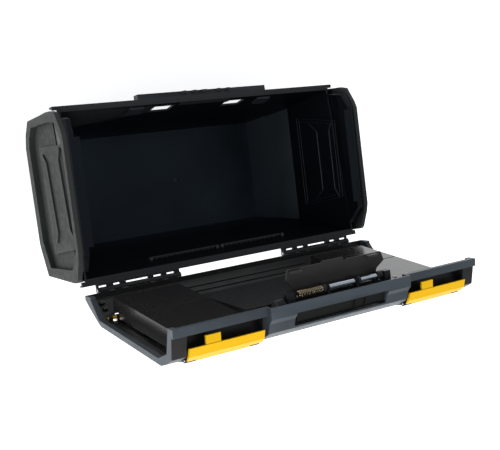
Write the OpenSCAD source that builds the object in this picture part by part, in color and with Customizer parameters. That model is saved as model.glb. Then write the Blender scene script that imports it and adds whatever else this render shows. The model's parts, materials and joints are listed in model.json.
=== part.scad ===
// Toolbox with a hinged organizer lid, drawn with the lid standing open at its stop.
// X runs along the hinge, -Y is the latch side, +Z is up, and the base stands on z = 0.
// Profiles are drawn in (p, h): p is the distance forward from the tub's rear rim edge,
// and h is the height above the rim plane, which slopes down towards the latch side.

/* [Overall] */
// Length over the end caps
body_length = 595; // [480:1:720]
// Depth of the rim flange, from its rear edge to its front edge
rim_depth = 294; // [240:1:360]
// Height of the rear rim edge above the ground
rim_height = 216; // [180:1:260]
// Slope of the rim plane, and of the lid's top against it
rim_tilt = 5.3; // [4:0.1:7]
// Angle from the closed lid to the open one
open_angle = 100.4; // [92:0.1:105]

/* [Tub] */
// Wall of the tub
tub_wall = 3.2; // [2.5:0.1:4.5]
// Depth of the floor's outer face, front to back
base_depth = 201; // [180:1:230]
// Length of the floor's outer face
base_length = 402; // [360:1:440]
// Height of the knee where the ends turn in under the end caps
knee_height = 84; // [60:1:110]
// Gap from the end wall at rim height to the outside of the end cap
end_inset = 17.5; // [14:0.5:22]
// Extra inset of the end wall at the knee
end_draft = 25; // [20:0.5:30]
// Height of the runners under the floor
runner_h = 4.8; // [3:0.1:8]
// Thickness of the rim flange
flange_t = 4; // [3:0.5:6]
// Height of the down-turned lip on the front flange
flange_lip = 12; // [8:1:16]

/* [Lid] */
// Wall of the lid
lid_wall = 3; // [2.4:0.1:4]
// Height of the lid above the rim at its rear shoulder
lid_rear_h = 41.5; // [36:0.5:52]
// Gap between the closed lid and the rim
lid_gap = 0.4; // [0.3:0.1:1]
// Height of the rim band round the lid's front
band_h = 13; // [10:0.5:16]
// Thickness of the frame round each open end of the lid
end_frame_t = 9; // [6:0.5:12]
// Gap from the lid's end to the outside of the end cap
lid_end_inset = 8.5; // [7:0.5:12]
// How far the bulge stands in front of the lid
bulge_depth = 8; // [5:0.5:12]

/* [Hinges] */
// Distance of the hinge axis behind the rear rim edge
hinge_back = 10; // [9:0.5:14]
// Outer radius of a hinge knuckle
knuckle_r = 5; // [4:0.1:6]
// Radius of the hinge pin
hinge_pin_r = 2; // [1.5:0.1:3]
// Gap from the outer end of each hinge to the outside of the end cap
hinge_end_gap = 35.5; // [30:0.5:45]
// Radial clearance of anything that turns on a pin
running_gap = 0.06; // [0.02:0.01:0.1]

/* [Organizers] */
// Gap from the outer wall of each bin to the outside of the end cap
bin_end_gap = 40.5; // [38:0.5:50]
// Width of each bin
bin_width = 120; // [96:1:146]
// Distance from the rim to the bin's floor at its rear
bin_rear_h = 3; // [2:0.5:8]
// Wall of the bins
bin_wall = 2.2; // [1.6:0.1:3]
// Thickness of the organizer covers
cover_t = 2.6; // [2:0.1:4]
// Radius of the cover's hinge pin
cover_pin_r = 2.5; // [1.8:0.1:3]
// Radius of the pin that a cover latch turns on
latch_pin_r = 1.5; // [1.2:0.1:2]

/* [Main latch] */
// Radius of the bright part of the latch rod
rod_r = 4.2; // [3:0.1:5]
// Radius of the rod's journals
rod_journal_r = 2.5; // [2:0.1:3.2]
// How far the hook plate reaches below the rim when the lid is shut
hook_drop = 42.5; // [34:0.5:50]
// Outer radius of the spring's coils
spring_r = 5.2; // [4.8:0.1:6]
// Diameter of the spring wire
spring_wire = 1.6; // [1:0.1:2]

/* [Carry handle] */
// Gap from the handle's arms to the ends of its pocket
handle_side_gap = 17; // [10:0.5:24]
// Distance from the handle's pivot to the middle of its bar
handle_reach = 88; // [60:1:100]
// Radius of the handle's bar
handle_bar_r = 8; // [6:0.5:10]
// Thickness of the grip over the bar
grip_t = 3; // [2:0.5:4]
// Radius of the pin at each end of the handle
handle_pin_r = 3; // [2:0.1:4]

/* [Hidden] */
$fn = 48;

half = body_length / 2;
slope = tan(rim_tilt);
cut = 0.5;                        // overshoot of a cut past the face it opens
rear_y = rim_depth / 2 - 3;       // the floor's middle is at y = 0

// Tub outline in world coordinates
end_wall_x = half - end_inset;
knee_x = end_wall_x - end_draft;
flange_x = half - 12;
tub_rear_p = 8;
tub_front_p = rim_depth - 8;
top_z = rim_height + 80;
front_rim_z = rim_height - rim_depth * slope;

// Lid profile in (p, h)
lid_front_p = rim_depth - 4;
shoulder_p = 56;
nose_p = lid_front_p - 42;
band_t = 5;
face_lean = 9.6;                  // how far the lid's front face leans back over its height
lid_x = half - lid_end_inset;
function top_h(p) = lid_rear_h + slope * (p - shoulder_p);
front_edge_h = top_h(nose_p) - 10.8;
face_h = top_h(nose_p) - 14.8;
function face_p(h) = lid_front_p - band_t - (face_lean - band_t) * (h - band_h) / (face_h - band_h);

// Hinge stations, measured inwards from each hinge's outer end: [start, end] of each tub knuckle
hinge_length = 154;
hinge_outer_x = half - hinge_end_gap;
hinge_inner_x = hinge_outer_x - hinge_length;
tub_knuckles = [[0, 4], [18, 30], [42, 53], [94, 104], [119, 129], [144, 154]];
knuckle_gap = 0.4;
hinge_strip = 2.5;                // width of the strip that ties a hinge's knuckles together

// Organizers
bin_outer_x = half - bin_end_gap;
bin_inner_x = bin_outer_x - bin_width;
bin_rear_p = 36;
bin_front_p = lid_front_p - 24;
window_x0 = bin_inner_x + 3;
window_x1 = bin_outer_x + 8;
bulge_x = window_x0 - 6;          // half the length of the centre bulge that carries the latch
cover_pin_p = 48;
cover_pin_h = 33;
cover_knuckle_r = cover_pin_r + 2;
cover_front_p = bin_front_p - 1;
latch_pivot_p = cover_front_p + 4.5;
latch_pivot_h = top_h(nose_p) - 6;
latch_floor_h = top_h(nose_p) - 12.5;   // top of the wall behind the window, clear of the latch's barrel
divider_p = 130;
latch_shift = 23;                 // the latch tabs sit this far to the same side of both latches

// Main latch
rod_p = lid_front_p - 18;
rod_h = -4;
rod_x0 = -86;                     // bright part of the rod
rod_x1 = 22;
spring_x0 = 23.5;
spring_x1 = 68;
collar_w = 9;
bracket_w = 12;
bracket_x1 = spring_x1 + 10;
bracket_x0 = rod_x0 - collar_w - 3;
bracket_foot_h = top_h(nose_p) - lid_wall - 8;
plate_p = rod_p - 10;
plate_t = 3;
paddle_x = bulge_x - 46;
slot_x = 74;                      // middle of each lift slot
slot_w = 38;
slot_h0 = -45;
slot_h1 = -16;

// Carry handle
pocket_x = bin_inner_x - 17;
pocket_rear_p = 78;
pocket_front_p = 214;
pocket_depth = 22;
handle_arm_w = 12;
handle_x = pocket_x - handle_side_gap;
grip_x = handle_x - 37;           // half the length of the grip
handle_pivot_p = pocket_front_p - 14;
handle_pivot_h = top_h(handle_pivot_p) - 11;

// ---- frames of reference ----

module rim_frame() translate([0, rear_y, rim_height]) rotate([rim_tilt, 0, 0]) children();

// Moves a part drawn on the closed lid to where it is with the lid open
module opened() rim_frame() translate([0, hinge_back, 0]) rotate([-open_angle, 0, 0])
    translate([0, -hinge_back, 0]) children();

// Extrudes a (p, h) profile from x0 to x1
module side(x0, x1) translate([x1, 0, 0]) rotate([90, 0, -90]) linear_extrude(x1 - x0) children();

// A round bar along X, centred on (p, h)
module bar(x0, x1, p, h, r) translate([x0, -p, h]) rotate([0, 90, 0]) cylinder(h = x1 - x0, r = r);

module box_at(x0, x1, p0, p1, h0, h1) translate([x0, -p1, h0]) cube([x1 - x0, p1 - p0, h1 - h0]);

// A bar with rounded ends lying in a plane of constant x, for 2D use in (p, h)
module strut(a, b, r) hull() {
    translate(a) circle(r, $fn = 24);
    translate(b) circle(r, $fn = 24);
}

// ---- tub ----

// Outline in (p, h) of the tongue that fills the lid's open end
module tongue_profile() polygon([[24, -cut], [24, 4], [50, 31.5], [nose_p - 7, top_h(nose_p - 7) - 9.5],
    [lid_front_p - 23, 38], [lid_front_p - 15, 4], [lid_front_p - 15, -cut]]);

// Where the line through a and b is at height z
function line_at(a, b, z) = a[0] + (b[0] - a[0]) * (z - a[1]) / (b[1] - a[1]);

// Side outline of the tub in world (-y, z), drawn in by t, its walls run on above the rim by rise
module tub_side(t, rise) {
    rear_z = rim_height + rise;
    front_z = front_rim_z + rise;
    rear_top = line_at([-base_depth / 2, runner_h], [-rear_y + tub_rear_p, rim_height], rear_z);
    front_top = line_at([base_depth / 2, runner_h], [-rear_y + tub_front_p, front_rim_z], front_z);
    polygon([[rear_top + t, rear_z], [-base_depth / 2 + t, runner_h + t],
        [base_depth / 2 - t, runner_h + t], [front_top - t, front_z]]);
}

// End outline of the tub in (x, z), drawn in by t
module tub_ends(t) {
    top = line_at([knee_x, knee_height], [end_wall_x, rim_height], top_z) - t;
    knee = knee_x - t;
    foot = base_length / 2 - t;
    polygon([[-top, top_z], [-knee, knee_height], [-foot, runner_h + t],
        [foot, runner_h + t], [knee, knee_height], [top, top_z]]);
}

module tub_prism(t, rise) intersection() {
    translate([half, 0, 0]) rotate([90, 0, -90]) linear_extrude(2 * half) tub_side(t, rise);
    translate([0, rim_depth, 0]) rotate([90, 0, 0]) linear_extrude(2 * rim_depth) tub_ends(t);
}

module below_rim(drop = 0) rim_frame() box_at(-half, half, -40, rim_depth + 40, -rim_height - 40, -drop);

module flange() rim_frame() {
    wall_x = end_wall_x - tub_wall;
    box_at(-wall_x, wall_x, 0, tub_rear_p + tub_wall, -flange_t, 0);
    box_at(-flange_x, flange_x, 0, tub_rear_p, -flange_t, 0);
    box_at(-flange_x, flange_x, 0, 3, -10, 0);
    box_at(-wall_x, wall_x, tub_front_p - tub_wall, rim_depth, -flange_t, 0);
    box_at(-flange_x, flange_x, tub_front_p + 2, rim_depth, -flange_lip, 0);
}

// The tub's lift slots, which the latch plate's hooks meet, and the channel behind the front lip
module front_slots() rim_frame() {
    for (s = [-1, 1])
        box_at(s * slot_x - slot_w / 2, s * slot_x + slot_w / 2, tub_front_p - 40, rim_depth + 20,
            slot_h0, slot_h1);
    box_at(-flange_x - cut, flange_x + cut, tub_front_p + 2 - cut, rim_depth - 3, -flange_lip - cut,
        -flange_t);
}

module runners() {
    for (s = [-1, 1]) {
        translate([-base_length / 2 + 12, s * (base_depth / 2 - 16) - 8, 0])
            cube([base_length - 24, 16, runner_h + 1]);
        translate([s * (base_length / 2 - 24) - 8, -base_depth / 2 + 8, 0])
            cube([16, base_depth - 16, runner_h + 1]);
    }
    translate([-50, -30, 0]) cube([100, 60, runner_h + 1]);
}

// Ribs up the rear wall that the box stands on when it lies on its back
module rear_ribs() for (x = [-196, -84, 76, 188])
    translate([x + 8, 0, 0]) rotate([90, 0, -90]) linear_extrude(8)
        polygon([[-base_depth / 2 + 2, 0], [-base_depth / 2 - 14, 0], [-rear_y + 1, rim_height - 24],
            [-rear_y + tub_rear_p + 2.5, rim_height - 12]]);

// Lip round the top of the wall that fills each of the lid's ends, widest between the lid's bin latches
module tongue_lip() for (lip = [[5, 0, rim_depth], [14, 62, nose_p - 12]]) intersection() {
    lip_t = 2.5;
    difference() {
        tub_prism(1, 60);
        tub_prism(tub_wall + lip[0], 60);
    }
    rim_frame() for (s = [0, 1]) mirror([s, 0, 0]) intersection() {
        side(knee_x, half) difference() {
            tongue_profile();
            offset(delta = -lip_t) tongue_profile();
            translate([24 + lip_t, -1]) square([lid_front_p - 39 - 2 * lip_t, 6]);
        }
        box_at(0, half, lip[1], lip[2], -10, 80);
    }
}

module tub() color([0.12, 0.13, 0.14]) {
    tub_shell();
    tongue_lip();
}

module tub_shell() difference() {
    union() {
        intersection() {
            tub_prism(0, 60);
            union() {
                below_rim();
                rim_frame() side(-half, half) tongue_profile();
            }
        }
        flange();
        runners();
        rear_ribs();
    }
    intersection() {
        tub_prism(tub_wall, 60);
        translate([-half, -rim_depth, runner_h + tub_wall]) cube([2 * half, 2 * rim_depth, top_z]);
    }
    rim_frame() box_at(-end_wall_x + tub_wall, end_wall_x - tub_wall, -40, rim_depth + 40, 0, 80);
    front_slots();
    // Shallow panel pressed into the floor
    translate([-base_length / 2 + 12, -base_depth / 2 + 12, runner_h + tub_wall - 0.8])
        cube([base_length - 24, base_depth - 24, 10]);
}

// ---- end caps ----

// Outline in (p, h) of an end cap
module cap_profile() polygon([[9, 0], [9, 10], [13, 15], [42, 31.5], [56, 36.5],
    [nose_p - 10, top_h(nose_p - 10) - 6.5], [nose_p + 2, top_h(nose_p + 2) - 11],
    [lid_front_p - 11, 34], [lid_front_p - 6, 18], [rim_depth - 8, 0], [rim_depth - 8, -32],
    [rim_depth - 7, -88], [rim_depth - 28, -107], [rim_depth - 49, -116.5], [82, -127.5],
    [70, -125], [25, -111]]);

module cap_recess() polygon([[30, 0], [44, 17.5], [60, 26.5], [nose_p - 14, top_h(nose_p - 14) - 16],
    [lid_front_p - 26, 28], [lid_front_p - 20, 0], [rim_depth - 20, -78], [rim_depth - 34, -92],
    [rim_depth - 52, -100], [84, -110], [38, -94]]);

module cap_panel() polygon([[60, -74], [62, 24], [nose_p - 20, 38], [nose_p - 10, -64]]);

// A raised rib with both of its ends bent outwards
module cap_rib(h0, bend) {
    low_p = 80;
    high_p = nose_p - 26;
    strut([low_p + 14, h0], [high_p - 14, h0], 3);
    strut([low_p + 14, h0], [low_p, h0 + bend], 3);
    strut([high_p - 14, h0], [high_p, h0 + bend], 3);
}

module end_cap() {
    recess_d = 9;
    panel_d = 4;
    x_out = half;
    difference() {
        rim_frame() union() {
            difference() {
                side(knee_x + 0.2, x_out) cap_profile();
                // Room under the lid's end frame
                box_at(0, lid_x + 0.8, -20, rim_depth + 20, -0.4, 90);
                side(lid_x - 20, x_out - recess_d) offset(delta = -3) cap_profile();
                side(0, x_out - recess_d - 3) offset(delta = -3) cap_profile();
                side(x_out - recess_d, x_out + cut) cap_recess();
            }
            // Floor of the recess, within the tongue where it stands above the rim
            intersection() {
                side(x_out - recess_d - 3, x_out - recess_d) offset(delta = 3) cap_recess();
                union() {
                    box_at(0, half, -20, rim_depth + 20, -rim_height, -0.4);
                    side(0, half) tongue_profile();
                }
            }
            side(x_out - recess_d - cut, x_out - panel_d) cap_panel();
            side(x_out - panel_d - cut, x_out - panel_d + 3) {
                cap_rib(-40, -10);
                cap_rib(14, 10);
            }
            intersection() {
                side(end_wall_x - 1, lid_x + 0.8) difference() {
                    tongue_profile();
                    offset(delta = -3) tongue_profile();
                }
                box_at(0, half, 0, rim_depth, -0.5, 90);
            }
        }
        tub_prism(-0.05, 60);
        flange();
    }
}

module end_cap_right() color([0.2, 0.21, 0.22]) end_cap();
module end_cap_left() color([0.2, 0.21, 0.22]) mirror([1, 0, 0]) end_cap();

// Where the inner face of the rear wall meets height h of the rim frame
rest_h = -44;
rest_wall_p = (rear_y + tub_wall - rest_h * sin(rim_tilt)
    + line_at([-base_depth / 2, runner_h], [-rear_y + tub_rear_p, rim_height], rim_height + rest_h))
    / cos(rim_tilt);

module tray_rests() color([0.15, 0.16, 0.18]) difference() {
    front_p = rest_wall_p + 4.5;
    rim_frame() for (s = [-1, 1]) {
        box_at(s * 72 - 70, s * 72 + 70, rest_wall_p - 10, front_p, rest_h, rest_h + 3);
        box_at(s * 72 - 70, s * 72 + 70, front_p - 2.5, front_p, rest_h, rest_h + 7);
        for (e = [-67, 67])
            box_at(s * 72 + e - 3, s * 72 + e + 3, rest_wall_p - 10, front_p, rest_h, rest_h + 9);
    }
    difference() {
        translate([-half, -rim_depth, 0]) cube([2 * half, 2 * rim_depth, 2 * rim_height]);
        tub_prism(tub_wall, 60);
    }
}

// The catch: a channel along the middle of the front flange, with small loops and a clip on its top
module catch_rail() color([0.2, 0.22, 0.25]) rim_frame() {
    rail_x = bulge_x - 3;
    loop_r = 4.4;
    difference() {
        union() {
            box_at(-rail_x, rail_x, rim_depth, rim_depth + 9, -flange_lip - 3, 0);
            for (x = [-50, -30, 20, 40]) translate([x, -rim_depth - 9, 0.6]) rotate([-90, 0, 0])
                cylinder(h = 4.4, r = loop_r);
            box_at(-5, 6, rim_depth + 4.6, rim_depth + 9, -1, 4);
        }
        box_at(-rail_x + 3, rail_x - 3, rim_depth + 2.5, rim_depth + 6.5, -flange_lip - 4, -2.5);
        for (x = [-50, -30, 20, 40]) translate([x, -rim_depth - 10, 0.8]) rotate([-90, 0, 0])
            cylinder(h = 7, r = loop_r - 2.2);
    }
}

// ---- hinges ----

// [start, end] of each lid knuckle: one between each two tub knuckles
lid_knuckles = [for (i = [0:len(tub_knuckles) - 2])
    [tub_knuckles[i][1] + knuckle_gap, tub_knuckles[i + 1][0] - knuckle_gap]];

module knuckle(station, bore_r, arm_h0, arm_h1, arm_p) {
    x0 = hinge_outer_x - station[1];
    x1 = hinge_outer_x - station[0];
    difference() {
        union() {
            bar(x0, x1, -hinge_back, 0, knuckle_r);
            box_at(x0, x1, -hinge_back, arm_p, arm_h0, arm_h1);
        }
        bar(x0 - cut, x1 + cut, -hinge_back, 0, bore_r);
    }
}

module tub_hinge() rim_frame() {
    for (k = tub_knuckles) knuckle(k, hinge_pin_r, -flange_t, -0.2, 0);
    box_at(hinge_inner_x, hinge_outer_x, -hinge_strip, 0, -flange_t, -0.2);
}
module tub_hinge_right() color([0.14, 0.15, 0.17]) tub_hinge();
module tub_hinge_left() color([0.14, 0.15, 0.17]) mirror([1, 0, 0]) tub_hinge();

module lid_hinge() opened() {
    for (k = lid_knuckles) knuckle(k, hinge_pin_r + running_gap, lid_gap + 0.6, 5, 3);
    box_at(hinge_inner_x, hinge_outer_x, 3 - hinge_strip, 3, lid_gap + 0.6, 5);
}
module lid_hinge_right() color([0.3, 0.33, 0.36]) lid_hinge();
module lid_hinge_left() color([0.3, 0.33, 0.36]) mirror([1, 0, 0]) lid_hinge();

module hinge_pin() rim_frame() bar(hinge_inner_x, hinge_outer_x, -hinge_back, 0, hinge_pin_r);
module hinge_pin_right() color("silver") hinge_pin();
module hinge_pin_left() color("silver") mirror([1, 0, 0]) hinge_pin();

// ---- lid ----

module lid_outline() polygon([[3, lid_gap], [3, 7], [16, 17], [47, 37.5], [shoulder_p, top_h(shoulder_p)],
    [nose_p, top_h(nose_p)], [nose_p + 15, top_h(nose_p) - 5], [lid_front_p - 16, front_edge_h],
    [lid_front_p - face_lean, face_h], [face_p(band_h), band_h], [lid_front_p, band_h],
    [lid_front_p, lid_gap]]);

module lid_inside(t) difference() {
    offset(delta = -t) lid_outline();
    translate([0, -50]) square([rim_depth, 50 + lid_gap]);
}

module lid_mouth(t) polygon([[3 + t, -1], [3 + t, 8], [lid_front_p - band_t - t, 8],
    [lid_front_p - band_t - t, -1]]);

module lid_skin() difference() {
    side(-lid_x, lid_x) lid_outline();
    side(-lid_x + end_frame_t, lid_x - end_frame_t) {
        lid_inside(lid_wall);
        lid_mouth(lid_wall);
    }
    side(-lid_x - cut, lid_x + cut) offset(delta = 0.5) tongue_profile();
}

module bulge() side(-bulge_x, bulge_x) polygon([[lid_front_p - 6, lid_gap],
    [lid_front_p + bulge_depth, lid_gap], [lid_front_p + bulge_depth, 18], [lid_front_p + 2, 25],
    [lid_front_p - 2, 40], [lid_front_p - face_lean - 3, 47], [lid_front_p - face_lean - 6, 20]]);

// Cuts one side's organizer opening, its window and the room its latch swings in
module organizer_opening() {
    side(bin_inner_x - 0.2, bin_outer_x + 0.2) polygon([[bin_rear_p - 0.2, 10], [bin_rear_p - 0.2, 90],
        [bin_front_p + 0.2, 90], [bin_front_p + 0.2, 10]]);
    side(window_x0, window_x1) polygon([[bin_front_p + 3, band_h], [bin_front_p + 3, 90],
        [lid_front_p + 20, 90], [lid_front_p + 20, band_h]]);
    // Recess that the cover's plate and hinge lie in
    side(window_x0 - 1, window_x1 + 1) polygon([[cover_pin_p - 6, cover_pin_h - 6],
        [cover_pin_p - 9, cover_pin_h + 2], [cover_pin_p - 9, 90], [cover_pin_p + 6, 90],
        [cover_pin_p + 6, cover_pin_h - 6]]);
    under = cover_t + 0.8;
    side(window_x0 - 1, window_x1 + 1) polygon([[cover_pin_p, top_h(cover_pin_p) - under],
        [cover_pin_p, 90], [bin_front_p + 10, 90], [bin_front_p + 10, latch_floor_h],
        [nose_p + 8, latch_floor_h], [nose_p - 2, top_h(nose_p - 2) - under]]);
    bar(cover_x0 - 3, cover_pin_x1, cover_pin_p, cover_pin_h, cover_pin_r);
}

// Wall behind one window, and the ledge round the bin that the cover closes on
module organizer_surround() {
    side(window_x0 - 3, window_x1 + 3) polygon([[bin_front_p + 0.4, band_h - 3],
        [bin_front_p + 0.4, latch_floor_h], [bin_front_p + 3, latch_floor_h],
        [bin_front_p + 3, band_h], [lid_front_p - 4, band_h], [lid_front_p - 4, band_h - 3]]);
    for (x = [window_x0 - 3, window_x1])
        side(x, x + 3) polygon([[bin_front_p, band_h - 3], [bin_front_p, top_h(nose_p) - 12],
            [nose_p + 18, top_h(nose_p) - 9], [lid_front_p - 12, 46], [lid_front_p - 8, band_h - 3]]);
    // Boss round the end of the cover's pin
    bar(window_x1 + 1.5, cover_pin_x1 - 0.4, cover_pin_p, cover_pin_h, cover_pin_r + 2.4);
}

module handle_pocket(grow) box_at(-pocket_x - grow, pocket_x + grow, pocket_rear_p - grow,
    pocket_front_p + grow, top_h(pocket_rear_p) - pocket_depth - grow, 120);

module lid_frame() color([0.27, 0.3, 0.33]) opened() difference() {
    union() {
        lid_skin();
        bulge();
        organizer_surround();
        mirror([1, 0, 0]) organizer_surround();
        intersection() {
            handle_pocket(lid_wall);
            side(-lid_x, lid_x) lid_outline();
        }
    }
    organizer_opening();
    mirror([1, 0, 0]) organizer_opening();
    handle_pocket(0);
    // Recess for the pull paddle, and the bulge's own hollow
    side(-paddle_x - 0.5, paddle_x + 0.5) polygon([[lid_front_p - 30, 16], [lid_front_p + 20, 16],
        [lid_front_p + 20, 37], [lid_front_p - 4, 37], [lid_front_p - 30, 37]]);
    side(-bulge_x + 3, bulge_x - 3) polygon([[lid_front_p - 22, -1],
        [lid_front_p + bulge_depth - 3.5, -1], [lid_front_p + bulge_depth - 3.5, 15],
        [lid_front_p - 3, 22], [lid_front_p - 12, 40], [lid_front_p - 22, 40]]);
    for (s = [-1, 1])
        bar(s * (pocket_x + 4) - 8, s * (pocket_x + 4) + 8, handle_pivot_p, handle_pivot_h, handle_pin_r);
}

// ---- organizers ----

function bin_h(p) = bin_rear_h + slope * (p - bin_rear_p);

module bin_profile() polygon([[bin_rear_p, bin_h(bin_rear_p)], [bin_front_p, bin_h(bin_front_p)],
    [bin_front_p, top_h(bin_front_p) - 14], [nose_p - 4, top_h(nose_p) - 8],
    [cover_pin_p + 7, top_h(cover_pin_p) - 5], [cover_pin_p + 7, cover_pin_h - 7],
    [bin_rear_p, cover_pin_h - 7]]);

module bin() opened() difference() {
    side(bin_inner_x, bin_outer_x) bin_profile();
    side(bin_inner_x + bin_wall, bin_outer_x - bin_wall) polygon([
        [bin_rear_p + bin_wall, bin_h(bin_rear_p) + bin_wall],
        [bin_front_p - bin_wall, bin_h(bin_front_p) + bin_wall], [bin_front_p - bin_wall, 90],
        [cover_pin_p + 7 + bin_wall, 90], [cover_pin_p + 7 + bin_wall, cover_pin_h - 7 - bin_wall],
        [bin_rear_p + bin_wall, cover_pin_h - 7 - bin_wall]]);
    // Groove across the underside, over the divider's seat
    side(bin_inner_x - cut, bin_outer_x + cut) translate([divider_p, bin_h(divider_p)]) circle(1.2, $fn = 12);
}

module bin_right() color([0.22, 0.22, 0.23]) bin();
module bin_left() color([0.22, 0.22, 0.23]) mirror([1, 0, 0]) bin();

module divider() opened() side(bin_inner_x + bin_wall + 0.3, bin_outer_x - bin_wall - 0.3)
    polygon([[divider_p, bin_h(divider_p) + bin_wall + 0.3],
        [divider_p + 2, bin_h(divider_p) + bin_wall + 0.4],
        [divider_p + 2, top_h(divider_p) - 9], [divider_p, top_h(divider_p) - 9]]);
module divider_right() color([0.3, 0.31, 0.33]) divider();
module divider_left() color([0.3, 0.31, 0.33]) mirror([1, 0, 0]) divider();

cover_x0 = window_x0;
cover_x1 = window_x1;
cover_lug_w = 16;
cover_pin_x1 = cover_x1 + 8;

module cover() opened() difference() {
    union() {
        side(cover_x0, cover_x1) polygon([[cover_pin_p + 2, top_h(cover_pin_p) - cover_t],
            [cover_pin_p + 2, top_h(cover_pin_p)], [shoulder_p + 4, top_h(shoulder_p + 4)],
            [nose_p, top_h(nose_p)],
            [cover_front_p, top_h(nose_p) - 4], [cover_front_p, top_h(nose_p) - 4 - cover_t],
            [nose_p - 1, top_h(nose_p) - cover_t], [shoulder_p + 4, top_h(shoulder_p + 4) - cover_t]]);
        // Hinge knuckles on the cover's rear edge
        for (x = [cover_x0 + 6, (cover_x0 + cover_x1) / 2 - 8, cover_x1 - 22]) {
            bar(x, x + 16, cover_pin_p, cover_pin_h, cover_knuckle_r);
            side(x, x + 16) polygon([[cover_pin_p - 1, cover_pin_h + 3], [cover_pin_p + 4, cover_pin_h + 2],
                [cover_pin_p + 5, top_h(cover_pin_p) - 1], [cover_pin_p + 2, top_h(cover_pin_p) - 1]]);
        }
        // Lugs that hold the latch's pin
        for (x = [cover_x0 + 1, cover_x1 - cover_lug_w - 1]) {
            bar(x, x + cover_lug_w, latch_pivot_p, latch_pivot_h, 3.4);
            side(x, x + cover_lug_w) polygon([[latch_pivot_p - 7, top_h(nose_p) - 4.5],
                [latch_pivot_p, latch_pivot_h + 3.4], [latch_pivot_p, latch_pivot_h - 3.4],
                [latch_pivot_p - 7, top_h(nose_p) - 7.5]]);
        }
    }
    bar(cover_x0 - cut, cover_x1 + cut, cover_pin_p, cover_pin_h, cover_pin_r + running_gap);
    bar(cover_x0 - cut, cover_x1 + cut, latch_pivot_p, latch_pivot_h, latch_pin_r);
}
module cover_right() color([0.13, 0.14, 0.15]) cover();
module cover_left() color([0.13, 0.14, 0.15]) mirror([1, 0, 0]) cover();

module cover_pin() opened() bar(cover_x0 - 3, cover_pin_x1, cover_pin_p, cover_pin_h, cover_pin_r);
module cover_pin_right() color([1, 0.8, 0.05]) cover_pin();
module cover_pin_left() color([1, 0.8, 0.05]) mirror([1, 0, 0]) cover_pin();

latch_x0 = cover_x0 + cover_lug_w + 2;
latch_x1 = cover_x1 - cover_lug_w - 2;

// A cover latch that turns between the lugs at x0 and x1, its face reaching out in front of them
module cover_latch(x0, x1, tab_x) opened() {
    reach = cover_lug_w + 1.5;
    difference() {
        union() {
            bar(x0, x1, latch_pivot_p, latch_pivot_h, 3.4);
            side(x0, x1) polygon([[latch_pivot_p, latch_pivot_h + 3.4], [lid_front_p - 12, 51],
                [lid_front_p - 8, 46], [lid_front_p - 9, 43], [latch_pivot_p + 2, latch_pivot_h - 2.4]]);
        }
        bar(x0 - cut, x1 + cut, latch_pivot_p, latch_pivot_h, latch_pin_r + running_gap);
    }
    side(x0 - reach, x1 + reach) polygon([[lid_front_p - 12.5, 51], [lid_front_p - 11, 52],
        [lid_front_p - 4, 45],
        [lid_front_p - 1, 32], [lid_front_p - 4.5, 32], [lid_front_p - 8.5, 44]]);
    side(tab_x - 12, tab_x + 12) polygon([[lid_front_p - 6, 36], [lid_front_p - 2, 36],
        [lid_front_p - 2, 19], [lid_front_p - 5, 19]]);
}
latch_mid_x = (latch_x0 + latch_x1) / 2;
module cover_latch_right() color([1, 0.8, 0.05]) cover_latch(latch_x0, latch_x1, latch_mid_x + latch_shift);
module cover_latch_left() color([1, 0.8, 0.05]) cover_latch(-latch_x1, -latch_x0, latch_shift - latch_mid_x);

module latch_pin() opened() bar(cover_x0 + 1, cover_x1 - 1, latch_pivot_p, latch_pivot_h, latch_pin_r);
module latch_pin_right() color("silver") latch_pin();
module latch_pin_left() color("silver") mirror([1, 0, 0]) latch_pin();

// ---- main latch ----

module latch_rod() color([0.85, 0.87, 0.9]) opened() {
    bar(rod_x0, rod_x1, rod_p, rod_h, rod_r);
    bar(bracket_x0 - bracket_w + 1, bracket_x1 + bracket_w - 1, rod_p, rod_h, rod_journal_r);
}

module rod_collar() color([0.1, 0.1, 0.11]) opened() difference() {
    bar(rod_x0 - collar_w, rod_x0, rod_p, rod_h, rod_r + 2.5);
    bar(rod_x0 - collar_w - cut, rod_x0 + cut, rod_p, rod_h, rod_journal_r);
}

arm_w = 5;
plate_arms = [rod_x1 - arm_w - 0.5, -51];
paddle_arms = [rod_x1 - 2 * arm_w - 1, -45.6];

// Plate behind the rod, with pointed ends, a stepped edge and a hook lug in front of each slot
module hook_plate() color([0.33, 0.31, 0.3]) opened() {
    difference() {
        union() {
            translate([0, plate_t - plate_p, 0]) rotate([90, 0, 0]) linear_extrude(plate_t)
                polygon([[77, 2.5 - hook_drop], [80, -25], [71, -12], [68, 4], [-92, 4], [-96, -13],
                    [-112, -24], [-106, 4 - hook_drop], [-38, 4 - hook_drop], [-36, 6 - hook_drop],
                    [-31, 6 - hook_drop], [-29, -hook_drop], [11, -hook_drop], [13, 2.5 - hook_drop]]);
            for (x = plate_arms) {
                bar(x, x + arm_w, rod_p, rod_h, rod_r + 1.8);
                box_at(x, x + arm_w, plate_p - 1, rod_p, rod_h - 2, rod_h + 2);
            }
            for (x = [54, -94]) box_at(x, x + 20, plate_p - 1, plate_p + 8, 5 - hook_drop, 8 - hook_drop);
        }
        for (x = plate_arms) bar(x - cut, x + arm_w + cut, rod_p, rod_h, rod_r);
    }
}

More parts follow.
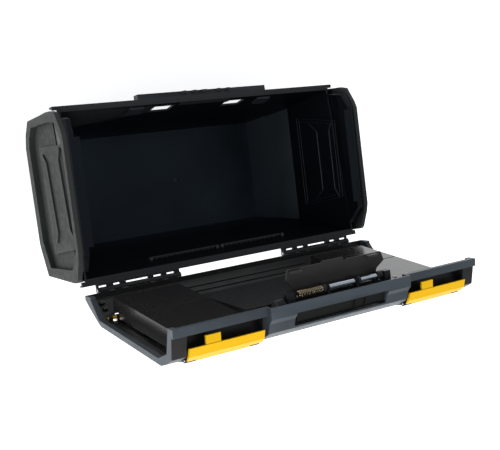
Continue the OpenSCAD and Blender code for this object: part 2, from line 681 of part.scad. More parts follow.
// Front plate that fingers pull, joined to the rod by two arms
module pull_paddle() color([0.16, 0.17, 0.18]) opened() difference() {
    union() {
        side(-paddle_x, paddle_x) polygon([[lid_front_p - 3, 17], [lid_front_p - 0.5, 17],
            [lid_front_p - 6, 36], [lid_front_p - 8.5, 36]]);
        for (x = [-48, -27, 82]) side(x, x + 1.6) polygon([[lid_front_p - 2, 22], [lid_front_p + 0.5, 22],
            [lid_front_p - 3.5, 35], [lid_front_p - 6, 35]]);
        for (x = paddle_arms) {
            bar(x, x + arm_w, rod_p, rod_h, rod_r + 1.8);
            side(x, x + arm_w) polygon([[rod_p - 4, rod_h], [rod_p + 4, rod_h], [rod_p + 11, 12],
                [lid_front_p - 2, 18], [lid_front_p - 7, 34], [lid_front_p - 11, 30]]);
        }
    }
    bar(rod_x0 - cut, rod_x1 + cut, rod_p, rod_h, rod_r);
}

module latch_spring() color([0.7, 0.62, 0.45]) opened() difference() {
    bar(spring_x0, spring_x1, rod_p, rod_h, spring_r);
    bar(spring_x0 - cut, spring_x1 + cut, rod_p, rod_h, spring_r - spring_wire);
}

// A tower that carries one end of the rod, with a screwed foot on the lid
module rod_bracket(x0) opened() difference() {
    union() {
        side(x0, x0 + bracket_w) polygon([[rod_p - 14, bracket_foot_h], [rod_p - 4.5, rod_h - 6],
            [rod_p + 6, rod_h - 6], [rod_p + 8, 10], [rod_p + 6, 30], [rod_p - 4, bracket_foot_h]]);
        box_at(x0 - 2, x0 + bracket_w + 2, rod_p - 44, rod_p - 4, bracket_foot_h - 4, bracket_foot_h);
    }
    bar(x0 - cut, x0 + bracket_w + cut, rod_p, rod_h, rod_journal_r + running_gap);
    for (p = screw_stations)
        translate([x0 + bracket_w / 2, -p, bracket_foot_h - 5]) cylinder(h = 6, r = screw_r);
}
screw_r = 2;
screw_stations = [rod_p - 38, rod_p - 22];
module rod_bracket_right() color([0.3, 0.3, 0.31]) rod_bracket(bracket_x1);
module rod_bracket_left() color([0.3, 0.3, 0.31]) rod_bracket(bracket_x0 - bracket_w);

module bracket_screws() color([0.6, 0.6, 0.62]) opened()
    for (x = [bracket_x1, bracket_x0 - bracket_w]) for (p = screw_stations)
        translate([x + bracket_w / 2, -p, bracket_foot_h]) {
            translate([0, 0, -6.4]) cylinder(h = 2.4, r = 3.6);
            translate([0, 0, -4]) cylinder(h = 4, r = screw_r);
        }

// ---- carry handle ----

module carry_handle() color([0.12, 0.12, 0.13]) opened() {
    bar_p = handle_pivot_p - handle_reach;
    difference() {
        union() {
            for (s = [-1, 1]) {
                x0 = s > 0 ? handle_x - handle_arm_w : -handle_x;
                side(x0, x0 + handle_arm_w)
                    strut([handle_pivot_p, handle_pivot_h], [bar_p, handle_pivot_h - 8], 7);
            }
            bar(-handle_x + 1, handle_x - 1, bar_p, handle_pivot_h - 8, handle_bar_r - 0.5);
        }
        bar(-handle_x - cut, handle_x + cut, handle_pivot_p, handle_pivot_h, handle_pin_r + running_gap);
    }
}

module handle_grip() color([0.17, 0.17, 0.18]) opened() difference() {
    bar(-grip_x, grip_x, handle_pivot_p - handle_reach, handle_pivot_h - 8, handle_bar_r + grip_t - 0.5);
    bar(-grip_x - cut, grip_x + cut, handle_pivot_p - handle_reach, handle_pivot_h - 8, handle_bar_r - 0.5);
}

module handle_pin() opened() bar(handle_x - handle_arm_w + 1, pocket_x + lid_wall, handle_pivot_p,
    handle_pivot_h, handle_pin_r);
module handle_pin_right() color("silver") handle_pin();
module handle_pin_left() color("silver") mirror([1, 0, 0]) handle_pin();

tub();
end_cap_right();
end_cap_left();
tray_rests();
catch_rail();
tub_hinge_right();
tub_hinge_left();
hinge_pin_right();
hinge_pin_left();
lid_frame();
lid_hinge_right();
lid_hinge_left();
bin_right();
bin_left();
divider_right();
divider_left();
cover_right();
cover_left();
cover_pin_right();
cover_pin_left();
cover_latch_right();
cover_latch_left();
latch_pin_right();
latch_pin_left();
latch_rod();
rod_collar();
hook_plate();
pull_paddle();
latch_spring();
rod_bracket_right();
rod_bracket_left();
bracket_screws();
carry_handle();
handle_grip();
handle_pin_right();
handle_pin_left();
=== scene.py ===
import json
import math

import bmesh
import bpy
from mathutils import Matrix, Vector
from mathutils.bvhtree import BVHTree

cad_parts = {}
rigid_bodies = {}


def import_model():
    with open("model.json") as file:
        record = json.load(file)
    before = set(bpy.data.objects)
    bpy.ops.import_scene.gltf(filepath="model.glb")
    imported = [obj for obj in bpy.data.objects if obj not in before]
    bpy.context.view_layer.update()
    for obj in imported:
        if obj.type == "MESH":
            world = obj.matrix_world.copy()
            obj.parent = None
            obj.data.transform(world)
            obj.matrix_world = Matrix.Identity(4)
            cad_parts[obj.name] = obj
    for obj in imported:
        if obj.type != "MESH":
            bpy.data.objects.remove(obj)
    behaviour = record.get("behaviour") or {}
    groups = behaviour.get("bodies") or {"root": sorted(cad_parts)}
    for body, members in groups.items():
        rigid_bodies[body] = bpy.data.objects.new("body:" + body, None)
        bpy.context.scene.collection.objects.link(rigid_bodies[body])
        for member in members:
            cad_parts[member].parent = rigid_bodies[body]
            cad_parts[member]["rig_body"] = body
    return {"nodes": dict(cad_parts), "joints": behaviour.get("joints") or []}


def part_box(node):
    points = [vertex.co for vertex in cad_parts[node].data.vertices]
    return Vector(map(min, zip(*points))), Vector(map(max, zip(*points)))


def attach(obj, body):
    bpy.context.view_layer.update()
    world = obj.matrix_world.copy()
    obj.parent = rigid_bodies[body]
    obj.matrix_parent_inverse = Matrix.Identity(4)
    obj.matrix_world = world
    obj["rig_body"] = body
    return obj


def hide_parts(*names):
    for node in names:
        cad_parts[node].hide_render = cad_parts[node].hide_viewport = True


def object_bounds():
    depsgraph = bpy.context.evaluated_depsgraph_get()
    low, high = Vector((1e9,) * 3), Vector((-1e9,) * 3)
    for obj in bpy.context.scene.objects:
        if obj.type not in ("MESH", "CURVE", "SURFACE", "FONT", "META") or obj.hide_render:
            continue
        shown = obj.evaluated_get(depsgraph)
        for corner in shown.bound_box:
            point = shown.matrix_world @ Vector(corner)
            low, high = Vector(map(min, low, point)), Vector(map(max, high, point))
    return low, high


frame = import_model()
cad_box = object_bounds()

MM = 0.001

# ---- the two drawing frames of the box ----
# (x, p, h): x along the hinge, p forward from the tub's rear rim edge, h above the rim plane.

HINGE_BACK = 10 * MM
RIM_TILT = math.radians(5.3)
JOINTS = {joint["name"]: joint for joint in frame["joints"]}
HINGE_AT = Vector(JOINTS["lid_hinge"]["pos_m"])
OPEN_ANGLE = math.radians(JOINTS["lid_hinge"]["range_deg"][1])
RIM_FRAME = Matrix.Translation(HINGE_AT) @ Matrix.Rotation(RIM_TILT, 4, "X")
LID_FRAME = Matrix.Translation(HINGE_AT) @ Matrix.Rotation(RIM_TILT - OPEN_ANGLE, 4, "X")


def placed(drawing_frame, x, p, h):
    """A point given in millimetres in a drawing frame, in the object's own frame in metres."""
    return drawing_frame @ Vector((x * MM, -p * MM - HINGE_BACK, h * MM))


def measured(drawing_frame, point):
    """A point's (x, p, h) in millimetres in a drawing frame, the reverse of placed."""
    local = drawing_frame.inverted() @ point
    return local.x / MM, (-local.y - HINGE_BACK) / MM, local.z / MM


# ---- materials ----


class Nodes:
    """A material's node tree, with short calls to add and link nodes."""

    def __init__(self, name):
        self.material = bpy.data.materials.new(name)
        self.material.use_nodes = True
        self.tree = self.material.node_tree
        self.shader = self.tree.nodes["Principled BSDF"]
        self.where = self.add("ShaderNodeTexCoord").outputs["Object"]

    def add(self, kind, **inputs):
        node = self.tree.nodes.new(kind)
        for key, value in inputs.items():
            node.inputs[key.replace("_", " ")].default_value = value
        return node

    def link(self, output, target):
        self.tree.links.new(output, target)

    def noise(self, size_mm, detail=2.0, stretch=None):
        """Smooth noise whose features are about size_mm across."""
        node = self.add("ShaderNodeTexNoise", Scale=1 / (size_mm * MM), Detail=detail)
        source = self.where
        if stretch:
            mapping = self.add("ShaderNodeMapping", Scale=stretch)
            self.link(source, mapping.inputs["Vector"])
            source = mapping.outputs["Vector"]
        self.link(source, node.inputs["Vector"])
        return node.outputs["Fac"]

    def pebbles(self, size_mm):
        """Rounded cells about size_mm across, for a moulded-in grain."""
        node = self.add("ShaderNodeTexVoronoi", Scale=1 / (size_mm * MM))
        node.feature = "SMOOTH_F1"
        self.link(self.where, node.inputs["Vector"])
        return node.outputs["Distance"]

    def spread(self, source, low, high, from_low=0.3, from_high=0.7):
        """Maps source from one range to another and holds it at the ends."""
        node = self.add("ShaderNodeMapRange", From_Min=from_low, From_Max=from_high,
                        To_Min=low, To_Max=high)
        self.link(source, node.inputs["Value"])
        return node.outputs["Result"]

    def mixed(self, factor, first, second):
        """A colour that goes from first to second with factor; either may be a colour or an output."""
        node = self.add("ShaderNodeMix")
        node.data_type = "RGBA"
        self.link(factor, node.inputs["Factor"])
        for value, target in ((first, node.inputs["A"]), (second, node.inputs["B"])):
            if isinstance(value, bpy.types.NodeSocket):
                self.link(value, target)
            else:
                target.default_value = (*value, 1)
        return node.outputs["Result"]

    def edges(self):
        """0 on flats and hollows, 1 on outer edges, which get rubbed wear and a painted highlight."""
        flat, worn_and_highlit = 0.52, 0.60
        node = self.add("ShaderNodeNewGeometry")
        return self.spread(node.outputs["Pointiness"], 0, 1, flat, worn_and_highlit)

    def height(self, low_mm, high_mm):
        """0 at low_mm above the ground and 1 at high_mm."""
        split = self.add("ShaderNodeSeparateXYZ")
        self.link(self.where, split.inputs["Vector"])
        return self.spread(split.outputs["Z"], 0, 1, low_mm * MM, high_mm * MM)

    def bump(self, source, depth_mm, under=None):
        """A normal raised by source, on top of the normal under it."""
        node = self.add("ShaderNodeBump", Distance=depth_mm * MM, Strength=1.0)
        self.link(source, node.inputs["Height"])
        if under:
            self.link(under, node.inputs["Normal"])
        return node.outputs["Normal"]


def shade(colour, factor):
    return tuple(min(1.0, c * factor) for c in colour)


FINE_GRAIN_MM = 0.9           # the faint texture on a smooth moulding
COLOUR_DRIFT_MM = 38
HANDLING_MARK_MM = 9
SINK_WAVE_MM = 26             # the slow waves that a thin wall cools into


def plastic(name, colour, roughness, specular=0.5, grain=None, grain_depth=0.05, wave_depth=0.0,
            edge_wear_and_highlight=1.5, mottle=0.12):
    """Moulded plastic with colour drift, rubbed edges with a painted edge highlight, handling marks in
    the gloss and a grain.
    """
    n = Nodes(name)
    s = n.shader.inputs
    drift = n.spread(n.noise(COLOUR_DRIFT_MM, 3), 0, 1)
    flats = n.mixed(drift, shade(colour, 1 - mottle), shade(colour, 1 + mottle))
    # the lighter outer edges are partly rubbed wear and partly a painted highlight
    n.link(n.mixed(n.edges(), flats, shade(colour, edge_wear_and_highlight)), s["Base Color"])
    s["Specular IOR Level"].default_value = specular
    n.link(n.spread(n.noise(HANDLING_MARK_MM, 4), roughness * 0.85, roughness * 1.18), s["Roughness"])
    normal = None
    if wave_depth:
        normal = n.bump(n.noise(SINK_WAVE_MM, 1), wave_depth)
    if grain:
        normal = n.bump(n.pebbles(grain), grain_depth, normal)
        normal = n.bump(n.noise(grain * 0.4, 2), grain_depth * 0.4, normal)
    else:
        normal = n.bump(n.noise(FINE_GRAIN_MM, 2), 0.004, normal)
    n.link(normal, s["Normal"])
    return n.material


def glossy_inside(name, deep, painted_shade_colour, roughness):
    """The tub's smooth inside, with painted light: a painted cool pool of reflected light on the floor
    that fades into painted shade, near black, up the walls.
    """
    painted_light_pool_mm, gloss_drift_mm = 120, 60
    painted_shade_from_mm, painted_shade_to_mm = 6, 60
    n = Nodes(name)
    s = n.shader.inputs
    # painted light: cool patches of reflected light on the floor, fading with height into painted shade
    # on the walls
    painted_light_pool = n.spread(n.noise(painted_light_pool_mm, 3), 0, 1, 0.35, 0.65)
    floor = n.mixed(painted_light_pool, shade(deep, 0.55), shade(deep, 1.25))
    n.link(n.mixed(n.height(painted_shade_from_mm, painted_shade_to_mm), floor, painted_shade_colour), s["Base Color"])
    n.link(n.spread(n.noise(gloss_drift_mm, 3), roughness * 0.9, roughness * 1.1), s["Roughness"])
    s["Specular IOR Level"].default_value = 0.26
    # a cool specular tint that paints the reflections blue
    s["Specular Tint"].default_value = (0.68, 0.85, 1.0, 1)
    n.link(n.bump(n.noise(FINE_GRAIN_MM, 2), 0.002), s["Normal"])
    return n.material


def metal(name, colour, roughness, brushed=0.0):
    """Bare or plated metal with fine turning lines round the X axis."""
    stain_mm, gloss_drift_mm, line_mm = 6, 2.5, 3
    n = Nodes(name)
    s = n.shader.inputs
    s["Metallic"].default_value = 1.0
    stain = n.spread(n.noise(stain_mm, 3), 0, 1)
    n.link(n.mixed(stain, shade(colour, 0.9), shade(colour, 1.05)), s["Base Color"])
    n.link(n.spread(n.noise(gloss_drift_mm, 3), roughness * 0.7, roughness * 1.4), s["Roughness"])
    if brushed:
        n.link(n.bump(n.noise(line_mm, 2, stretch=(9, 1, 1)), brushed), s["Normal"])
    return n.material


LOOKS = {
    "tub_outside": plastic("tub_outside", (0.020, 0.022, 0.024), 0.55, 0.35, grain=1.1, grain_depth=0.06),
    # the tub's inside: a cool floor colour that is painted reflected light, and a near-black colour for
    # painted shade up the walls
    "tub_inside": glossy_inside("tub_inside", (0.0135, 0.0205, 0.029), (0.0032, 0.0038, 0.0050), 0.42),
    "rim_band": plastic("rim_band", (0.005, 0.0065, 0.010), 0.30, 0.40, edge_wear_and_highlight=3.0),
    "rest": plastic("rest", (0.020, 0.021, 0.024), 0.36, 0.40, edge_wear_and_highlight=2.0),
    # near black; on the paddle, the end-panel slot sheets and the strip under the rail it is partly
    # painted shade
    "deep": plastic("deep", (0.004, 0.004, 0.0042), 0.55, 0.20, edge_wear_and_highlight=1.0),
    "cap": plastic("cap", (0.024, 0.026, 0.025), 0.62, 0.32, grain=1.0, grain_depth=0.07, edge_wear_and_highlight=1.9),
    "catch": plastic("catch", (0.014, 0.017, 0.019), 0.42, 0.36, grain=1.3, grain_depth=0.02, edge_wear_and_highlight=2.2),
    "lid": plastic("lid", (0.040, 0.051, 0.061), 0.42, 0.40, grain=0.9, grain_depth=0.035, edge_wear_and_highlight=1.7),
    "lid_inside": plastic("lid_inside", (0.0125, 0.0125, 0.0130), 0.36, 0.38, edge_wear_and_highlight=2.4),
    "bin": plastic("bin", (0.012, 0.0115, 0.0115), 0.20, 0.50, wave_depth=0.03, edge_wear_and_highlight=2.6),
    "cover": plastic("cover", (0.010, 0.011, 0.012), 0.22, 0.50, wave_depth=0.02, edge_wear_and_highlight=2.0),
    "yellow": plastic("yellow", (0.98, 0.55, 0.0), 0.36, 0.30, edge_wear_and_highlight=1.0, mottle=0.03),
    # the hook plate's dark grey, with a warm brown tint that is painted light reflected from inside the
    # box
    "latch": plastic("latch", (0.026, 0.023, 0.0225), 0.40, 0.34, grain=1.2, grain_depth=0.015),
    "dark": plastic("dark", (0.007, 0.008, 0.009), 0.40, 0.40, grain=1.0, grain_depth=0.02),
    "rubber": plastic("rubber", (0.012, 0.012, 0.013), 0.75, 0.25, grain=0.7, grain_depth=0.08, edge_wear_and_highlight=1.3),
    "steel": metal("steel", (0.56, 0.57, 0.60), 0.28, brushed=0.02),
    "chrome": metal("chrome", (0.70, 0.78, 0.84), 0.08),
    "spring": metal("spring", (0.50, 0.41, 0.27), 0.26),
}

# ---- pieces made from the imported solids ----

SAME_POINT = 0.004 * MM
FLAT_ANGLE = math.radians(0.6)
FACET_ANGLE = math.radians(17)     # a curved surface's facets meet at less than this
EDGE_ANGLE = math.radians(24)      # an edge that gets a radius is sharper than this


def cleaned_copy(node):
    """The CAD node's mesh with its flat triangles joined into faces."""
    mesh = bpy.data.meshes.new(node + "_mesh")
    bm = bmesh.new()
    bm.from_mesh(frame["nodes"][node].data)
    bmesh.ops.remove_doubles(bm, verts=bm.verts, dist=SAME_POINT)
    bmesh.ops.dissolve_limit(bm, angle_limit=FLAT_ANGLE, verts=bm.verts, edges=bm.edges)
    bmesh.ops.recalc_face_normals(bm, faces=bm.faces)
    bm.to_mesh(mesh)
    bm.free()
    return mesh


def smoothed(obj, radius_mm):
    """Rounds every edge sharper than a curved surface's facets."""
    obj.data.polygons.foreach_set("use_smooth", [True] * len(obj.data.polygons))
    obj.data.set_sharp_from_angle(angle=FACET_ANGLE)
    bevel = obj.modifiers.new("edges", "BEVEL")
    bevel.width = radius_mm * MM
    bevel.segments = 2
    bevel.limit_method = "ANGLE"
    bevel.angle_limit = EDGE_ANGLE
    bevel.use_clamp_overlap = True
    bevel.harden_normals = True


def body_of_node(node):
    return frame["nodes"][node]["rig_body"]


def adopt(obj, body, look, replaced=()):
    """Gives a new piece its body and its material, and hides the CAD nodes that it stands for."""
    if obj.name not in bpy.context.scene.collection.objects:
        bpy.context.scene.collection.objects.link(obj)
    if not obj.data.materials:
        obj.data.materials.append(LOOKS[look])
    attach(obj, body)
    if replaced:
        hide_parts(*replaced)


def refined(node, look, radius_mm):
    """A CAD node in one look, with its edges rounded."""
    obj = bpy.data.objects.new(node + "_skin", cleaned_copy(node))
    smoothed(obj, radius_mm)
    adopt(obj, body_of_node(node), look, [node])


def refined_in_two(node, mesh, look, second_look, is_second, radius_mm):
    """A CAD node's mesh in one look, with the faces that pass is_second in another."""
    mesh.materials.append(LOOKS[look])
    mesh.materials.append(LOOKS[second_look])
    for face in mesh.polygons:
        if is_second(face):
            face.material_index = 1
    obj = bpy.data.objects.new(node + "_skin", mesh)
    smoothed(obj, radius_mm)
    adopt(obj, body_of_node(node), look, [node])


def enclosed_faces(mesh, directions, reach):
    """Faces whose outer side looks into a hollow: every direction meets the mesh within reach."""
    clear_of_face = 1.5 * MM
    bm = bmesh.new()
    bm.from_mesh(mesh)
    tree = BVHTree.FromBMesh(bm)
    found = set()
    for face in bm.faces:
        start = face.calc_center_median() + face.normal * clear_of_face
        if all(tree.ray_cast(start, Vector(d), reach)[0] for d in directions):
            found.add(face.index)
    bm.free()
    return found


def both(node):
    return [node + "_right", node + "_left"]


# nodes, look and edge radius in millimetres
SKINS = (
    (["tray_rests"], "rest", 0.4),
    (["catch_rail"], "catch", 0.5),
    (both("tub_hinge"), "dark", 0.3),
    (both("hinge_pin"), "steel", 0.3),
    (both("lid_hinge"), "lid_inside", 0.3),
    (both("bin"), "bin", 0.8),
    (both("divider"), "bin", 0.4),
    (both("cover"), "cover", 0.5),
    (both("cover_pin"), "yellow", 0.4),
    (both("cover_latch"), "yellow", 0.6),
    (both("latch_pin"), "steel", 0.3),
    (["rod_collar"], "dark", 0.4),
    (["hook_plate"], "latch", 0.4),
    # the paddle is near black, partly for painted shade in its recess
    (["pull_paddle"], "deep", 0.4),
    (both("rod_bracket"), "dark", 0.5),
    (["bracket_screws"], "steel", 0.3),
    (["carry_handle"], "dark", 0.6),
    (["handle_grip"], "rubber", 1.2),
    (both("handle_pin"), "steel", 0.3),
)


def make_tub():
    """The tub, grained outside and glossy inside, with glossy walls above the rim; the inside carries
    painted light and shade.
    """
    walls_and_floor = ((1, 0, 0), (-1, 0, 0), (0, 1, 0), (0, -1, 0), (0, 0, -1))
    longest_view = 600 * MM
    end_wall_x = 210 * MM
    above_floor = 10 * MM
    above_rim_mm = 0.5
    least_turn_to_middle = 0.4
    mesh = cleaned_copy("tub")
    hollow = enclosed_faces(mesh, walls_and_floor, longest_view)

    def is_inside(face):
        x = face.center.x
        turned_to_middle = x * face.normal.x < 0 and abs(face.normal.x) > least_turn_to_middle
        end_wall = turned_to_middle and abs(x) > end_wall_x and face.center.z > above_floor
        above_rim = measured(RIM_FRAME, face.center)[2] > above_rim_mm
        return face.index in hollow or end_wall or above_rim

    refined_in_two("tub", mesh, "tub_outside", "tub_inside", is_inside, 0.7)


def make_lid():
    """The lid, slate outside and darker in its hollow."""
    hollow_x, hollow_p, hollow_h = 278, 283, 48
    into_lid = LID_FRAME.to_3x3().inverted()

    def is_hollow(face):
        x, p, h = measured(LID_FRAME, face.center)
        faces_up = (into_lid @ face.normal).z >= 0.5
        return abs(x) < hollow_x and p < hollow_p and h < hollow_h and not faces_up

    refined_in_two("lid_frame", cleaned_copy("lid_frame"), "lid", "lid_inside", is_hollow, 0.6)


def make_rod():
    """The latch rod, bright between its arms and blackened where the spring and the bearings are."""
    spring_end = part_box("latch_spring")[0].x
    collar_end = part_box("rod_collar")[1].x

    def is_blackened(face):
        return face.center.x > spring_end or face.center.x < collar_end

    refined_in_two("latch_rod", cleaned_copy("latch_rod"), "chrome", "deep", is_blackened, 0.3)


def make_end_cap(node):
    """An end cap, grained outside, with the glossy band that lies inside the lid's end."""
    band_low_mm = -0.6
    band_edge = cad_box[1][0] - 8.9 * MM

    def is_band(face):
        return measured(RIM_FRAME, face.center)[2] > band_low_mm and abs(face.center.x) < band_edge

    refined_in_two(node, cleaned_copy(node), "cap", "rim_band", is_band, 0.8)


for skin_nodes, skin_look, edge_mm in SKINS:
    for skin_node in skin_nodes:
        refined(skin_node, skin_look, edge_mm)
make_tub()
make_lid()
make_rod()
for cap in both("end_cap"):
    make_end_cap(cap)

# ---- small moulded details, and near-black pieces that paint shadow ----


ROUND_RIB_ANGLE = math.radians(50)


class Detail:
    """A group of small solids that make one piece."""

    def __init__(self):
        self.bm = bmesh.new()

    def prism(self, drawing_frame, x0, x1, profile):
        """A (p, h) profile in millimetres run from x0 to x1."""
        rings = []
        for x in (x0, x1):
            rings.append([self.bm.verts.new(placed(drawing_frame, x, p, h)) for p, h in profile])
        self.bm.faces.new(rings[0])
        self.bm.faces.new(reversed(rings[1]))
        for i in range(len(profile)):
            j = (i + 1) % len(profile)
            self.bm.faces.new((rings[0][i], rings[1][i], rings[1][j], rings[0][j]))

    def block(self, drawing_frame, x0, x1, p0, p1, h0, h1):
        self.prism(drawing_frame, x0, x1, [(p0, h0), (p1, h0), (p1, h1), (p0, h1)])

    def cone(self, centre, along, radius_mm, end_radius_mm, length, segments):
        """A cone or cylinder centred on a point, with its length in metres."""
        turn = Vector((0, 0, 1)).rotation_difference(along).to_matrix().to_4x4()
        bmesh.ops.create_cone(self.bm, cap_ends=True, segments=segments, radius1=radius_mm * MM,
                              radius2=end_radius_mm * MM, depth=length,
                              matrix=Matrix.Translation(centre) @ turn)

    def disc(self, centre, radius_mm, thick_mm, normal):
        """A low round boss whose top is a little smaller than its foot."""
        self.cone(centre, normal, radius_mm, radius_mm * 0.8, thick_mm * MM, 24)

    def rib(self, points, radius_mm):
        """A round rib through points given in metres, with rounded corners."""
        for start, end in zip(points, points[1:]):
            along = end - start
            self.cone((start + end) / 2, along, radius_mm, radius_mm, along.length, 10)
        for point in points:
            bmesh.ops.create_uvsphere(self.bm, u_segments=10, v_segments=6, radius=radius_mm * MM,
                                      matrix=Matrix.Translation(point))

    def finished(self, name, body, look, bevel_mm=0.0):
        """Makes the solids one piece on a body."""
        bmesh.ops.recalc_face_normals(self.bm, faces=self.bm.faces)
        mesh = bpy.data.meshes.new(name)
        self.bm.to_mesh(mesh)
        self.bm.free()
        obj = bpy.data.objects.new(name, mesh)
        if bevel_mm:
            smoothed(obj, bevel_mm)
        else:
            mesh.polygons.foreach_set("use_smooth", [True] * len(mesh.polygons))
            mesh.set_sharp_from_angle(angle=ROUND_RIB_ANGLE)
        adopt(obj, body, look)


END_KNEE = (251.8, 84.0)      # (x, z) of the end wall's inner face where it bends, in millimetres
END_LEAN = 25 / 132           # how far the wall leans out per millimetre of height above the knee


def on_end_wall(side, y, z):
    """A point on the inner face of the end wall, in metres, from millimetres."""
    return Vector((side * (END_KNEE[0] + END_LEAN * (z - END_KNEE[1])), y, z)) * MM


def end_wall_relief():
    """A bordered panel with two bent ribs, raised from the inside of each end wall."""
    panel_y = (-92, 83)
    panel_z = (106, 203)
    border_step, border_taper, border_r = 6, 14, 0.7
    rib_y = (-78, -61, 53, 70)
    rib_r = 1.6
    relief = Detail()
    for side in (-1, 1):
        for inset in (0, border_step):
            left, right = panel_y[0] + inset, panel_y[1] - inset
            low, high = panel_z[0] + inset, panel_z[1] - inset
            top_left, top_right = left + border_taper, right - border_taper
            border = [(left, low), (top_left, high), (top_right, high), (right, low), (left, low)]
            relief.rib([on_end_wall(side, y, z) for y, z in border], border_r)
        for level, bend in ((155, -17), (186, 10)):
            heights = (level + bend, level, level, level + bend)
            relief.rib([on_end_wall(side, y, z) for y, z in zip(rib_y, heights)], rib_r)
    relief.finished("end_wall_relief", "tub", "rim_band")


def floor_gate_mark():
    """The round mark that the moulding gate leaves in the floor."""
    mark_at = Vector((-20, 0, 7.4)) * MM
    mark_r, mark_height = 5, 0.6
    mark = Detail()
    mark.disc(mark_at, mark_r, mark_height, Vector((0, 0, 1)))
    mark.finished("floor_gate_mark", "tub", "rim_band")


def tray_rest_teeth():
    """A row of small teeth along each tray rest."""
    count, pitch, width = 12, 10.5, 1.5
    back_p, front_p = 19, 26
    low_h, high_h = -41.2, -38.6
    rest_x, half_row = 72, 60
    teeth = Detail()
    for side in (-1, 1):
        for k in range(count):
            x = side * rest_x - half_row + pitch * k
            teeth.block(RIM_FRAME, x, x + width, back_p, front_p, low_h, high_h)
    teeth.finished("tray_rest_teeth", "tub", "rest")


def catch_shadow_block():
    """The sloped near-black strip under the front rim, on the inner side of the catch, a solid block that
    paints the shadow under the rail.
    """
    end_x = (-50, 52)
    shadow_block = Detail()
    shadow_block.prism(RIM_FRAME, *end_x, [(279, -12), (284.5, -5), (284.5, -0.6), (279, -0.6)])
    shadow_block.finished("catch_shadow_block", "tub", "deep", 0.6)


def catch_pads():
    """The thick pads inside the front wall, one on each side of the catch."""
    pad_x, half_width = 131, 14
    pads = Detail()
    for side in (-1, 1):
        x = side * pad_x
        pads.prism(RIM_FRAME, x - half_width, x + half_width,
                   [(279, -10), (282.5, -8), (279, -30), (273.5, -31)])
    pads.finished("catch_pads", "tub", "catch", 0.5)


def cap_slot_shadows():
    """A thin near-black sheet on the face of each end panel along its rim side, which paints the shadow
    in a deep slot.
    """
    face_x = cad_box[1][0] / MM - 4
    sunk, proud = 0.5, 0.25
    slot_shadows = Detail()
    for side in (-1, 1):
        x0, x1 = sorted((side * (face_x - sunk), side * (face_x + proud)))
        slot_shadows.prism(RIM_FRAME, x0, x1, [(68, 15.5), (70, 23), (218, 35.5), (222, 26.5)])
    slot_shadows.finished("end_panel_slot_shadows", "tub", "deep")


def latch_boss():
    """The moulded boss beside the bracket at the spring's end."""
    end_x = (91, 109)
    boss = Detail()
    boss.prism(LID_FRAME, *end_x, [(258, 40), (260, 6), (265, -2), (273, -2), (279, 4), (279, 30)])
    boss.finished("latch_boss", "lid", "dark", 3.0)


def lid_rear_ridges():
    """Two ridges along the lid's rear wall and two corner blocks at each of its ends."""
    half_ridge, block_x, half_block = 133, 268, 4
    ridges = Detail()
    for p, h in ((21, 17.2), (31, 23.8)):
        ridges.prism(LID_FRAME, -half_ridge, half_ridge,
                     [(p, h), (p + 1.2, h - 1.8), (p + 2.6, h - 0.9), (p + 1.8, h + 1.2)])
    for side in (-1, 1):
        x = side * block_x
        for p, h in ((16, 12.5), (27, 19.8)):
            ridges.prism(LID_FRAME, x - half_block, x + half_block,
                         [(p, h), (p + 1.5, h - 2.6), (p + 6.5, h + 0.7), (p + 5, h + 3.4)])
    ridges.finished("lid_rear_ridges", "lid", "lid_inside", 0.3)


def bin_bosses():
    """Two round bosses under each bin."""
    boss_p, boss_h = 221, 20
    boss_r, boss_height = 5, 1.2
    bosses = Detail()
    under = LID_FRAME.to_3x3() @ Vector((0, 0, -1))
    for side in (1, -1):
        for x in (198, 170):
            bosses.disc(placed(LID_FRAME, side * x, boss_p, boss_h), boss_r, boss_height, under)
    bosses.finished("bin_bosses", "lid", "bin")


end_wall_relief()
floor_gate_mark()
tray_rest_teeth()
catch_shadow_block()
catch_pads()
cap_slot_shadows()
latch_boss()
lid_rear_ridges()
bin_bosses()

# ---- the coil spring ----


def coil_spring():
    """Round wire wound along the rod, with a closed turn at each end."""
    turns = 14
    steps_per_turn = 28
    ring = 10
    wire = 0.8 * MM
    low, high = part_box("latch_spring")
    radius = (high.z - low.z) / 2 - wire
    middle = (low + high) / 2
    span = high.x - low.x - 2 * wire
    along = Vector((1, 0, 0))
    bm = bmesh.new()
    rows = []
    for i in range((turns + 2) * steps_per_turn + 1):
        turn = i / steps_per_turn
        open_turns = min(max(turn - 1, 0), turns)
        x = low.x + wire + span * open_turns / turns
        angle = 2 * math.pi * turn
        out = Vector((0, math.cos(angle), math.sin(angle)))
        centre = Vector((x, middle.y, middle.z)) + out * radius
        row = []
        for k in range(ring):
            a = 2 * math.pi * k / ring
            row.append(bm.verts.new(centre + (out * math.cos(a) + along * math.sin(a)) * wire))
        rows.append(row)
    for first, second in zip(rows, rows[1:]):
        for k in range(ring):
            bm.faces.new((first[k], first[(k + 1) % ring], second[(k + 1) % ring], second[k]))
    bm.faces.new(reversed(rows[0]))
    bm.faces.new(rows[-1])
    bmesh.ops.recalc_face_normals(bm, faces=bm.faces)
    mesh = bpy.data.meshes.new("latch_spring_coil")
    bm.to_mesh(mesh)
    bm.free()
    mesh.polygons.foreach_set("use_smooth", [True] * len(mesh.polygons))
    obj = bpy.data.objects.new("latch_spring_coil", mesh)
    adopt(obj, "lid", "spring", ["latch_spring"])


coil_spring()

# ---- camera, floor and light ----

CAMERA_AT = (0.83026, -0.04949, 1.57671)
CAMERA_TURN_DEG = (-0.5636, -33.0911, 171.9003)
CAMERA_LENS_MM = 65.163


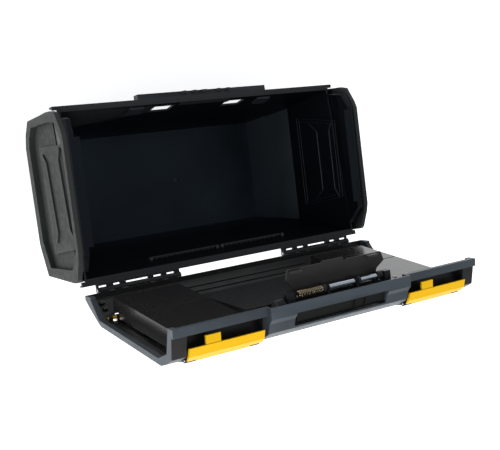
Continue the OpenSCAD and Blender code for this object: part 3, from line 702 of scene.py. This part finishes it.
def add_camera():
    """The camera, above the open box and rolled so that the lid lies below the tub."""
    data = bpy.data.cameras.new("camera")
    data.lens = CAMERA_LENS_MM
    data.sensor_width = 36
    data.clip_end = 60
    camera = bpy.data.objects.new("camera", data)
    camera.location = CAMERA_AT
    camera.rotation_euler = [math.radians(a) for a in CAMERA_TURN_DEG]
    bpy.context.scene.collection.objects.link(camera)
    bpy.context.scene.camera = camera


def add_floor():
    """A wide plain floor, nearly white, with a very faint drift in its tone."""
    radius = 14
    drift_mm = 700
    n = Nodes("floor")
    s = n.shader.inputs
    drift = n.spread(n.noise(drift_mm, 2), 0, 1)
    n.link(n.mixed(drift, (0.86, 0.86, 0.86), (0.90, 0.90, 0.90)), s["Base Color"])
    s["Roughness"].default_value = 0.9
    s["Emission Color"].default_value = (1, 1, 1, 1)
    s["Emission Strength"].default_value = 0.72
    bpy.ops.mesh.primitive_circle_add(vertices=96, radius=radius, fill_type="NGON", location=(0, 0, 0))
    floor = bpy.context.object
    floor.name = "floor"
    floor.data.materials.append(n.material)


def add_light(name, at, size, watts, aim):
    """A soft rectangular light at a point, in metres, turned to its aim."""
    data = bpy.data.lights.new(name, "AREA")
    data.shape = "RECTANGLE"
    data.size, data.size_y = size
    data.energy = watts
    light = bpy.data.objects.new(name, data)
    light.location = at
    light.rotation_euler = (Vector(aim) - Vector(at)).to_track_quat("-Z", "Y").to_euler()
    bpy.context.scene.collection.objects.link(light)


def add_world():
    """An even, faintly cool sky."""
    world = bpy.data.worlds.new("studio")
    world.use_nodes = True
    background = world.node_tree.nodes["Background"]
    background.inputs["Color"].default_value = (0.93, 0.96, 1.0, 1)
    background.inputs["Strength"].default_value = 0.42
    bpy.context.scene.world = world


add_camera()
add_floor()
add_world()
add_light("key", (0.5, 2.1, 2.1), (1.8, 1.2), watts=44, aim=(0, 0.1, 0.25))
add_light("end_fill", (2.4, 0.6, 1.2), (1.4, 1.4), watts=15, aim=(0, 0.05, 0.2))
bpy.context.scene.view_settings.view_transform = "Standard"
bpy.context.scene.view_settings.look = "None"
